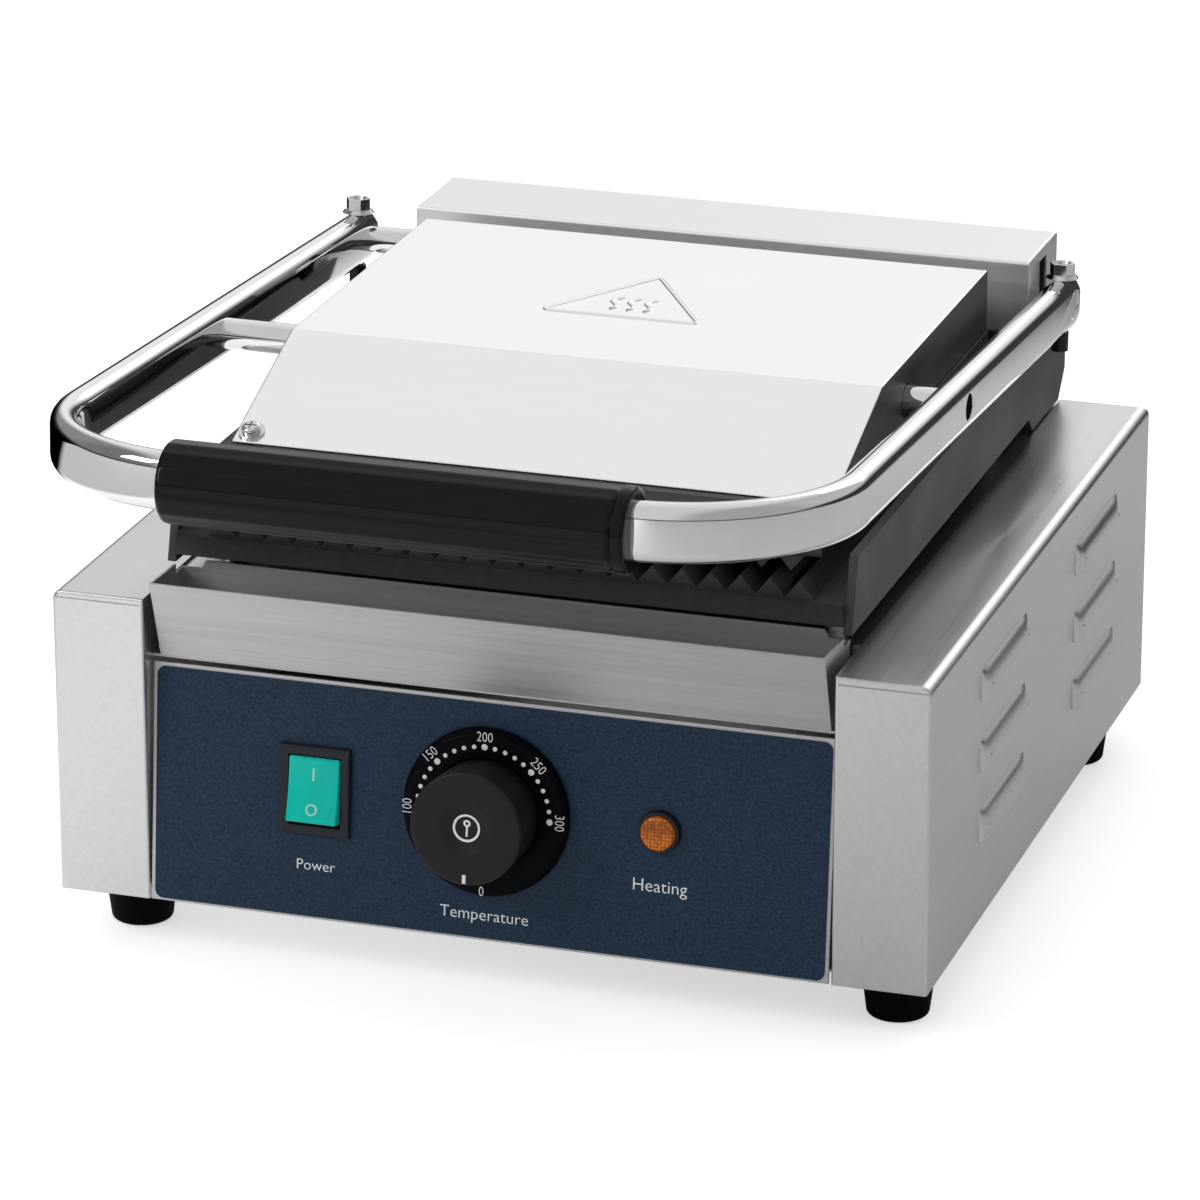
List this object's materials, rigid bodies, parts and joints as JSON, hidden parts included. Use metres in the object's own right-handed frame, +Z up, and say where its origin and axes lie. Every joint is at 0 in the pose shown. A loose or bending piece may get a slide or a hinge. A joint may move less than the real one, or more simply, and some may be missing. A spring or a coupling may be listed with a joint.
{
  "type": "panini press",
  "caption": "Countertop contact grill with ribbed cast plates, a covered upper plate on a swinging tube handle, a drip tray and a thermostat panel.",
  "frame": {"origin": "on the counter, under the middle of the outline of the closed press", "axes": "+X to the right of someone facing the control panel, +Y to the back, +Z up"},
  "size_m": [0.3102, 0.3742, 0.2025],
  "materials": {
    "axle_bushes": "sintered bronze",
    "balance_springs": "spring steel",
    "cable_gland": "black nylon",
    "clamp_bolts": "plated flange bolts",
    "clamp_cap_nuts": "black caps over the bolt ends",
    "control_panel": "brushed sheet",
    "dial_ring": "satin black, light grey marks",
    "drip_tray": "brushed grain along the width",
    "element_clamps": "pressed strip",
    "floor_pan": "plain mill sheet",
    "foot_front_left": "matt moulded rubber",
    "foot_front_right": "matt moulded rubber",
    "foot_rear_left": "matt moulded rubber",
    "foot_rear_right": "matt moulded rubber",
    "foot_screws": "zinc plated",
    "gland_nut": "black nylon",
    "grip": "satin black fluted moulding",
    "handle_end_caps": "polished plugs",
    "handle_frame": "polished flat oval tube",
    "hinge_bracket_left": "black painted steel",
    "hinge_bracket_right": "black painted steel",
    "lid_cover": "bright smooth sheet",
    "lid_screw": "plated cross recess screw",
    "lid_screw_washer": "plated washer",
    "lower_element": "heat-darkened sheath",
    "lower_plate": "black seasoned casting",
    "middle_rod": "polished rod",
    "panel_film": "navy printed film, fine grain",
    "pilot_lamp_body": "black plastic ring",
    "pilot_lamp_lens": "amber prism lens",
    "pivot_blocks": "black painted steel",
    "plate_posts": "turned steel",
    "rear_axle": "polished rod",
    "rear_box": "bright smooth sheet",
    "rear_panel": "brushed sheet",
    "rear_panel_screws": "zinc plated",
    "rocker_pin": "turned steel",
    "sensor_bulb": "copper bulb",
    "side_housing_left": "brushed grain along the depth, folded edges",
    "side_housing_right": "brushed grain along the depth, folded edges",
    "switch_housing": "black plastic",
    "switch_rocker": "translucent green plastic",
    "terminal_block": "ceramic",
    "thermostat_body": "brown bakelite",
    "thermostat_knob": "satin black",
    "thermostat_shaft": "turned steel",
    "top_deck": "brushed sheet",
    "tray_shelf": "plain sheet",
    "upper_element": "heat-darkened sheath",
    "upper_plate": "black seasoned casting"
  },
  "bodies": {
    "base": {"axle_bushes": "axle_bushes", "balance_springs": "balance_springs", "cable_gland": "cable_gland", "control_panel": "control_panel", "dial_ring": "dial_ring", "element_clamps": "element_clamps", "floor_pan": "floor_pan", "foot_front_left": "foot_front_left", "foot_front_right": "foot_front_right", "foot_rear_left": "foot_rear_left", "foot_rear_right": "foot_rear_right", "foot_screws": "foot_screws", "gland_nut": "gland_nut", "hinge_bracket_left": "hinge_bracket_left", "hinge_bracket_right": "hinge_bracket_right", "lower_element": "lower_element", "lower_plate": "lower_plate", "panel_film": "panel_film", "pilot_lamp_body": "pilot_lamp_body", "pilot_lamp_lens": "pilot_lamp_lens", "plate_posts": "plate_posts", "rear_box": "rear_box", "rear_panel": "rear_panel", "rear_panel_screws": "rear_panel_screws", "rocker_pin": "rocker_pin", "sensor_bulb": "sensor_bulb", "side_housing_left": "side_housing_left", "side_housing_right": "side_housing_right", "switch_housing": "switch_housing", "terminal_block": "terminal_block", "thermostat_body": "thermostat_body", "top_deck": "top_deck", "tray_shelf": "tray_shelf"},
    "handle": {"handle_frame": "handle_frame", "handle_end_caps": "handle_end_caps", "grip": "grip", "middle_rod": "middle_rod", "rear_axle": "rear_axle", "clamp_bolts": "clamp_bolts", "clamp_cap_nuts": "clamp_cap_nuts"},
    "upper": {"upper_plate": "upper_plate", "upper_element": "upper_element", "pivot_blocks": "pivot_blocks", "lid_cover": "lid_cover", "lid_screw": "lid_screw", "lid_screw_washer": "lid_screw_washer"},
    "rocker": {"switch_rocker": "switch_rocker"},
    "knob": {"thermostat_knob": "thermostat_knob", "thermostat_shaft": "thermostat_shaft"},
    "tray": {"drip_tray": "drip_tray"}
  },
  "joints": [
    {"name": "lid_lift", "type": "hinge", "parent": "base", "child": "handle", "pos_m": [0, 0.1606, 0.169], "axis": [-1, 0, 0], "range_deg": [0, 65]},
    {"name": "plate_tilt", "type": "hinge", "parent": "handle", "child": "upper", "pos_m": [0, 0.01115, 0.17762], "axis": [-1, 0, 0], "range_deg": [-10, 0]},
    {"name": "tray_slide", "type": "slide", "parent": "base", "child": "tray", "axis": [0, -1, 0], "range_m": [0, 0.06]},
    {"name": "rocker_flip", "type": "hinge", "parent": "base", "child": "rocker", "pos_m": [-0.0605, -0.12051, 0.06543], "axis": [1, 0, 0], "range_deg": [0, 16]},
    {"name": "knob_turn", "type": "hinge", "parent": "base", "child": "knob", "pos_m": [0, -0.12251, 0.06561], "axis": [0, 0.9958, -0.0918], "range_deg": [0, 270]}
  ],
  "couplings": [
    {"joint": "plate_tilt", "follows": "lid_lift", "ratio": -0.15}
  ]
}
